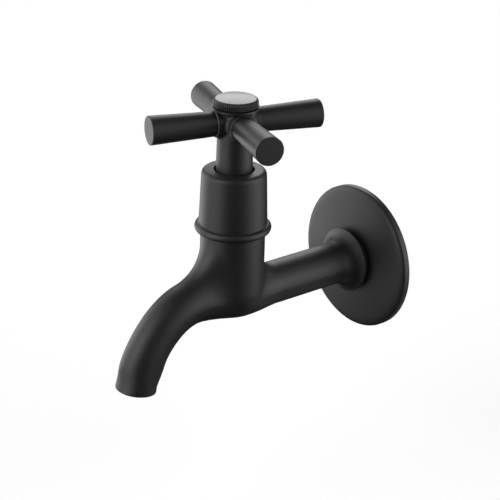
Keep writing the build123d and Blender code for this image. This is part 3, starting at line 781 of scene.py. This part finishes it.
class TAP_OT_cover(bpy.types.Operator):
    """Tapered cover of the headwork with its bead"""
    bl_idname = "tap.cover"
    bl_label = "Headwork cover"

    def execute(self, context):
        sizes = context.scene.tap_cover
        low, top = height("headwork_cover", 0), height("headwork_cover", 1)
        reach = half_width("headwork_cover")
        half = sizes.bead / 2
        thread_top = low + COVER_THREAD_TOP
        inner_round = sizes.shoulder - sizes.wall
        bead = arc((reach - half, low), (reach, low + half), (reach - half, low + sizes.bead),
                   steps=24)
        corners = [corner(COVER_THREAD, low, radius=0.2 * MM)]
        corners += [corner(r, z) for r, z in bead]
        corners += [corner(sizes.foot, low + sizes.bead + COVER_STEP),
                    corner(sizes.head, top, radius=sizes.shoulder),
                    corner(sizes.mouth, top, radius=0.3 * MM),
                    corner(sizes.mouth, top - sizes.wall, radius=0.2 * MM),
                    corner(sizes.head - sizes.wall, top - sizes.wall, radius=inner_round),
                    corner(sizes.foot - sizes.wall - COVER_STEP, thread_top, radius=0.3 * MM),
                    corner(COVER_THREAD, thread_top, radius=0.2 * MM)]
        piece = turned("headwork_cover_shell", rounded(corners, closed=True), black_coat(),
                       upright(), closed=True, segments=192)
        coat_piece(piece, "tap", "headwork_cover")
        return {"FINISHED"}


SLEEVE_BORE = 6.5 * MM      # radius of the hole for the hub's stem
SLEEVE_HEAD = 7.43 * MM     # radius at the top, under the hub


class TAP_OT_sleeve(bpy.types.Operator):
    """Neck sleeve under the hub"""
    bl_idname = "tap.sleeve"
    bl_label = "Neck sleeve"

    def execute(self, context):
        low, top = height("neck_sleeve", 0), height("neck_sleeve", 1)
        foot = half_width("neck_sleeve")
        corners = [corner(SLEEVE_BORE, low, radius=0.2 * MM),
                   corner(foot, low, radius=0.25 * MM),
                   corner(SLEEVE_HEAD, top, radius=0.22 * MM),
                   corner(SLEEVE_BORE, top, radius=0.1 * MM)]
        piece = turned("neck_sleeve_shell", rounded(corners, closed=True), black_coat(),
                       upright(), closed=True, segments=144)
        coat_piece(piece, "handle", "neck_sleeve")
        return {"FINISHED"}


STUD_RADIUS = 2.5 * MM      # stud that holds the arm in its boss
STUD_LENGTH = 4 * MM


class TAP_OT_arms(bpy.types.Operator):
    """Four round arms of the cross handle"""
    bl_idname = "tap.arms"
    bl_label = "Handle arms"

    def execute(self, context):
        sizes = context.scene.tap_arms
        stud_end = sizes.start - STUD_LENGTH
        corners = [corner(0, stud_end), corner(STUD_RADIUS, stud_end, radius=0.3 * MM),
                   corner(STUD_RADIUS, sizes.start),
                   corner(sizes.root, sizes.start, radius=0.22 * MM),
                   corner(sizes.tip, sizes.reach, radius=sizes.edge), corner(0, sizes.reach)]
        profile = rounded(corners, closed=False)
        for number, node in enumerate(ARM_NODES):
            piece = turned(node + "_rod", profile, black_coat(), arm_place(number),
                           closed=False, segments=112)
            coat_piece(piece, "handle", node)
        return {"FINISHED"}


class TAP_OT_hub(bpy.types.Operator):
    """Hub of the handle, kept as it is in the frame"""
    bl_idname = "tap.hub"
    bl_label = "Handle hub"

    def execute(self, context):
        finish_nodes(black_coat(), "handle_hub")
        return {"FINISHED"}


CAP_SPIGOT_BORE = 4.3 * MM  # inner radius of the spigot that enters the hub
CAP_SPIGOT = 5.3 * MM       # and its outer radius
CAP_CHAMFER = 0.35 * MM     # chamfer at the foot of the band, across
CAP_CHAMFER_RISE = 0.3 * MM
CAP_CHAMFER_ROWS = 3
CAP_BAND_ROWS = 4
CAP_BEND_DIP = 0.05 * MM    # corner of the band's upper bend, under the band's height
CAP_RIM_LIFT = 0.06 * MM    # end of the bend, over the band's height
CAP_BEND_ROWS = 10
CAP_FADE_ROWS = 4           # rows of the bend over which the ridges fade
CAP_FADE_END = 7            # row at which they are gone
CAP_CROWN = 0.75            # share of the dome's rise that is reached halfway in
CAP_SEAT_GAP = 0.01 * MM    # the cap's inner face lies this far under its foot
CAP_RIDGE_SEGMENTS = 8
CAP_RIDGE_FLAT = 0.4        # share of a ridge that stays at the full radius


class TAP_OT_cap(bpy.types.Operator):
    """Index cap with its ridged band and bare dome"""
    bl_idname = "tap.cap"
    bl_label = "Index cap"

    def execute(self, context):
        sizes = context.scene.tap_cap
        foot = height("handle_hub", 1)
        top = foot + sizes.band + sizes.rise
        inner_face = foot - CAP_SEAT_GAP
        spigot_end = height("index_cap", 0)
        foot_edge = sizes.radius - CAP_CHAMFER
        profile = rounded([
            corner(0, inner_face), corner(CAP_SPIGOT_BORE, inner_face),
            corner(CAP_SPIGOT_BORE, spigot_end, radius=0.1 * MM),
            corner(CAP_SPIGOT, spigot_end, radius=0.2 * MM),
            corner(CAP_SPIGOT, foot, radius=0.1 * MM), corner(foot_edge, foot)], closed=False)
        for i in range(1, CAP_CHAMFER_ROWS + 1):
            share = i / CAP_CHAMFER_ROWS
            radius = foot_edge + CAP_CHAMFER * share
            profile.append((radius, foot + CAP_CHAMFER_RISE * share, share))
        start = foot + CAP_CHAMFER_RISE
        shoulder = foot + sizes.band - sizes.edge
        for i in range(1, CAP_BAND_ROWS + 1):
            profile.append((sizes.radius, start + (shoulder - start) * i / CAP_BAND_ROWS, 1))
        tip = (sizes.radius, foot + sizes.band - CAP_BEND_DIP)
        rim = (sizes.radius - sizes.edge, foot + sizes.band + CAP_RIM_LIFT)
        bend = round_over((sizes.radius, shoulder), tip, rim, CAP_BEND_ROWS)
        for i, (r, z) in enumerate(bend[1:], 1):
            profile.append((r, z, max(0.0, min(1.0, (CAP_FADE_END - i) / CAP_FADE_ROWS))))
        rise = top - rim[1]
        dome = arc(rim, (rim[0] / 2, rim[1] + rise * CAP_CROWN), (0, top), steps=28)
        profile += [(r, z, 0) for r, z in dome[1:-1]]
        profile.append((0, top, 0))
        turn = Matrix.Rotation(HANDLE_ANGLE, 4, "Z")
        piece = turned("index_cap_top", profile, cap_enamel(), upright() @ turn, closed=False,
                       segments=sizes.ridges * CAP_RIDGE_SEGMENTS, starts=sizes.ridges,
                       depth=sizes.depth, flat=CAP_RIDGE_FLAT)
        coat_piece(piece, "handle", "index_cap")
        return {"FINISHED"}


class TAP_OT_headwork(bpy.types.Operator):
    """Brass and steel pieces of the headwork and the handle's screw"""
    bl_idname = "tap.headwork"
    bl_label = "Headwork metal"

    def execute(self, context):
        finish_nodes(machined_brass(), "headwork_housing", "spindle")
        finish_nodes(stainless_steel(), "spindle_clip", "handle_screw", "screw_washer")
        return {"FINISHED"}


class TAP_OT_seals(bpy.types.Operator):
    """Ceramic discs, rubber rings and plastic inserts"""
    bl_idname = "tap.seals"
    bl_label = "Discs and seals"

    def execute(self, context):
        finish_nodes(lapped_ceramic(), "fixed_disc", "turning_disc")
        finish_nodes(seal_rubber(), "housing_gasket", "seat_seal", "spindle_rings", "cap_ring")
        finish_nodes(grey_plastic(), "flow_straightener")
        finish_nodes(white_plastic(), "thrust_washer")
        return {"FINISHED"}


# Stage

PHOTO_WIDTH = 500               # in pixels
FOCAL_LENGTH = 1608.946         # in pixels too
SENSOR_WIDTH = 36.0             # in millimetres
AIM_ABOVE_INLET = 0.0194286     # the point on the valve axis that the view goes round
VIEW_AZIMUTH = 51.649           # place of the camera, in degrees from straight out
VIEW_ELEVATION = 23.932
VIEW_DISTANCE = 0.676155        # from the camera to that point
VIEW_ROLL = 1.668
AIM_OFF_AZIMUTH = -0.690        # the camera looks a little past that point
AIM_OFF_ELEVATION = -0.125
FLOOR_HALF = 4.0                # half of the floor's width
FLOOR_MATTE = 0.82              # with the glow, nearly white where no shadow falls
FLOOR_GLOW = 0.4

# Panels of the room: side, azimuth from the camera's own, elevation, spread and
# share of the side's strength. Angles are in degrees.
PANELS = (
    ("left", -120, 0, 34, 1.25), ("left", -60, 30, 34, 1.38), ("left", -60, 0, 34, 0.8),
    ("left", -120, 30, 34, 0.53), ("left", -90, -30, 34, 0.18), ("left", -135, -30, 34, 0.19),
    ("right", 90, 0, 34, 1.0), ("right", 60, 0, 34, 0.56), ("right", 60, 30, 34, 0.36),
    ("right", 90, 30, 34, 0.41), ("right", 90, -60, 34, 0.15), ("back", 180, 28, 26, 1.7))


def direction(azimuth, elevation):
    """Unit vector from the tap towards an azimuth and an elevation in degrees."""
    a, e = math.radians(azimuth), math.radians(elevation)
    return Vector((math.sin(a) * math.cos(e), -math.cos(a) * math.cos(e), math.sin(e)))


def camera_frame():
    """Camera matrix at the photograph's viewing angle."""
    back = direction(VIEW_AZIMUTH + AIM_OFF_AZIMUTH, VIEW_ELEVATION + AIM_OFF_ELEVATION)
    a = math.radians(VIEW_AZIMUTH + AIM_OFF_AZIMUTH)
    right = Vector((math.cos(a), math.sin(a), 0))
    up = back.cross(right)
    roll = math.radians(VIEW_ROLL)
    turned_right = right * math.cos(roll) + up * math.sin(roll)
    turned_up = up * math.cos(roll) - right * math.sin(roll)
    aim = Vector((0, VALVE.y, AIM_ABOVE_INLET))
    place = aim + direction(VIEW_AZIMUTH, VIEW_ELEVATION) * VIEW_DISTANCE
    matrix = Matrix((turned_right, turned_up, back)).transposed().to_4x4()
    matrix.translation = place
    return matrix


def room_tone(tree, way):
    """Soft white panels round the tap and a dim room between them, by the way a ray looks."""
    values = bpy.context.scene.tap_studio
    total = values.room
    for side, azimuth, elevation, spread_angle, share in PANELS:
        facing = tree.nodes.new("ShaderNodeVectorMath")
        facing.operation = "DOT_PRODUCT"
        link(tree, way, facing.inputs[0])
        facing.inputs[1].default_value = direction(VIEW_AZIMUTH + azimuth, elevation)
        panel = tree.nodes.new("ShaderNodeMapRange")
        panel.interpolation_type = "SMOOTHSTEP"
        link(tree, facing.outputs["Value"], panel.inputs["Value"])
        panel.inputs["From Min"].default_value = math.cos(math.radians(spread_angle))
        panel.inputs["From Max"].default_value = 1.0
        panel.inputs["To Min"].default_value = 0.0
        panel.inputs["To Max"].default_value = share * getattr(values, side)
        total = math_node(tree, "ADD", panel.outputs["Result"], total)
    return total


def seen_by(tree, *kinds):
    """1 for rays of the named kinds and 0 for all others."""
    path = tree.nodes.new("ShaderNodeLightPath")
    total = path.outputs[kinds[0]]
    for kind in kinds[1:]:
        total = math_node(tree, "MAXIMUM", total, path.outputs[kind])
    return total


def mixed_shader(tree, share, first, second):
    node = tree.nodes.new("ShaderNodeMixShader")
    link(tree, share, node.inputs[0])
    link(tree, first, node.inputs[1])
    link(tree, second, node.inputs[2])
    return node.outputs[0]


def glow(tree, kind, tone, strength=1.0):
    """Emission or Background node of a grey tone, given as a number or a socket."""
    node = tree.nodes.new(kind)
    node.inputs["Strength"].default_value = strength
    if isinstance(tone, (int, float)):
        node.inputs["Color"].default_value = (tone, tone, tone, 1)
    else:
        link(tree, tone, node.inputs["Color"])
    return node.outputs[0]


def floor_material():
    """Pale floor: white with the tap's shadow to the camera, toned as the room in reflections."""
    material = bpy.data.materials.new("pale_floor")
    material.use_nodes = True
    tree = material.node_tree
    tree.nodes.clear()
    matte = tree.nodes.new("ShaderNodeBsdfDiffuse")
    matte.inputs["Color"].default_value = (FLOOR_MATTE, FLOOR_MATTE, FLOOR_MATTE, 1)
    white = tree.nodes.new("ShaderNodeAddShader")
    link(tree, glow(tree, "ShaderNodeEmission", 1.0, FLOOR_GLOW), white.inputs[0])
    link(tree, matte.outputs[0], white.inputs[1])
    place = tree.nodes.new("ShaderNodeNewGeometry")
    way = tree.nodes.new("ShaderNodeVectorMath")
    way.operation = "NORMALIZE"
    link(tree, place.outputs["Position"], way.inputs[0])
    mirrored = glow(tree, "ShaderNodeEmission", room_tone(tree, way.outputs[0]))
    in_mirror = seen_by(tree, "Is Glossy Ray", "Is Transmission Ray")
    shown = mixed_shader(tree, in_mirror, matte.outputs[0], mirrored)
    shown = mixed_shader(tree, seen_by(tree, "Is Camera Ray"), shown, white.outputs[0])
    clear = tree.nodes.new("ShaderNodeBsdfTransparent")
    one_sided = mixed_shader(tree, place.outputs["Backfacing"], shown, clear.outputs[0])
    out = tree.nodes.new("ShaderNodeOutputMaterial")
    link(tree, one_sided, out.inputs["Surface"])
    return material


def studio_world():
    """White backdrop to the camera, and the room with its panels to every other ray."""
    world = bpy.data.worlds.new("studio")
    world.use_nodes = True
    tree = world.node_tree
    tree.nodes.clear()
    coordinates = tree.nodes.new("ShaderNodeTexCoord")
    room = glow(tree, "ShaderNodeBackground", room_tone(tree, coordinates.outputs["Generated"]))
    white = glow(tree, "ShaderNodeBackground", 1.0)
    shown = mixed_shader(tree, seen_by(tree, "Is Camera Ray"), room, white)
    out = tree.nodes.new("ShaderNodeOutputWorld")
    link(tree, shown, out.inputs["Surface"])
    return world


class TAP_OT_stage(bpy.types.Operator):
    """Pale floor, white room and the camera"""
    bl_idname = "tap.stage"
    bl_label = "Stage"

    def execute(self, context):
        scene = context.scene
        half, drop = FLOOR_HALF, scene.tap_studio.drop
        corners = [(-half, -half, drop), (half, -half, drop), (half, half, drop),
                   (-half, half, drop)]
        mesh = bpy.data.meshes.new("studio_floor")
        mesh.from_pydata(corners, [], [(0, 1, 2, 3)])
        mesh.materials.append(floor_material())
        floor = bpy.data.objects.new("studio_floor", mesh)
        scene.collection.objects.link(floor)
        scene.world = studio_world()
        lens = bpy.data.cameras.new("photo_camera")
        lens.sensor_width = SENSOR_WIDTH
        lens.lens = FOCAL_LENGTH / PHOTO_WIDTH * SENSOR_WIDTH
        lens.clip_start = 0.01
        lens.clip_end = 20.0
        camera = bpy.data.objects.new("photo_camera", lens)
        scene.collection.objects.link(camera)
        camera.matrix_world = camera_frame()
        scene.camera = camera
        scene.view_settings.view_transform = "Standard"
        return {"FINISHED"}


PIECE_STEPS = (TAP_OT_casting, TAP_OT_inlet_thread, TAP_OT_wall_flange, TAP_OT_cover, TAP_OT_sleeve,
               TAP_OT_hub, TAP_OT_arms, TAP_OT_cap, TAP_OT_headwork, TAP_OT_seals, TAP_OT_stage)
GROUPS = (("tap_flange", FlangeSizes), ("tap_cover", CoverSizes), ("tap_arms", ArmSizes),
          ("tap_cap", CapSizes), ("tap_thread", ThreadSizes), ("tap_finish", FinishValues),
          ("tap_studio", StudioValues))


class TAP_PT_sidebar(bpy.types.Panel):
    """Lists the sizes and the steps of the tap"""
    bl_label = "Bib Tap"
    bl_idname = "TAP_PT_sidebar"
    bl_space_type = "VIEW_3D"
    bl_region_type = "UI"
    bl_category = "Bib Tap"

    def draw(self, context):
        for step in PIECE_STEPS:
            self.layout.operator(step.bl_idname)
        for name, kind in GROUPS:
            box = self.layout.box()
            for label in kind.__annotations__:
                box.prop(getattr(context.scene, name), label)


def register():
    for name, kind in GROUPS:
        bpy.utils.register_class(kind)
        setattr(bpy.types.Scene, name, PointerProperty(type=kind))
    for step in PIECE_STEPS:
        bpy.utils.register_class(step)
    bpy.utils.register_class(TAP_PT_sidebar)


def unregister():
    bpy.utils.unregister_class(TAP_PT_sidebar)
    for step in reversed(PIECE_STEPS):
        bpy.utils.unregister_class(step)
    for name, kind in reversed(GROUPS):
        delattr(bpy.types.Scene, name)
        bpy.utils.unregister_class(kind)


def main():
    register()
    bpy.ops.tap.casting()
    bpy.ops.tap.inlet_thread()
    bpy.ops.tap.wall_flange()
    bpy.ops.tap.cover()
    bpy.ops.tap.sleeve()
    bpy.ops.tap.hub()
    bpy.ops.tap.arms()
    bpy.ops.tap.cap()
    bpy.ops.tap.headwork()
    bpy.ops.tap.seals()
    bpy.ops.tap.stage()
    bpy.context.view_layer.update()


if __name__ == "__main__":
    main()
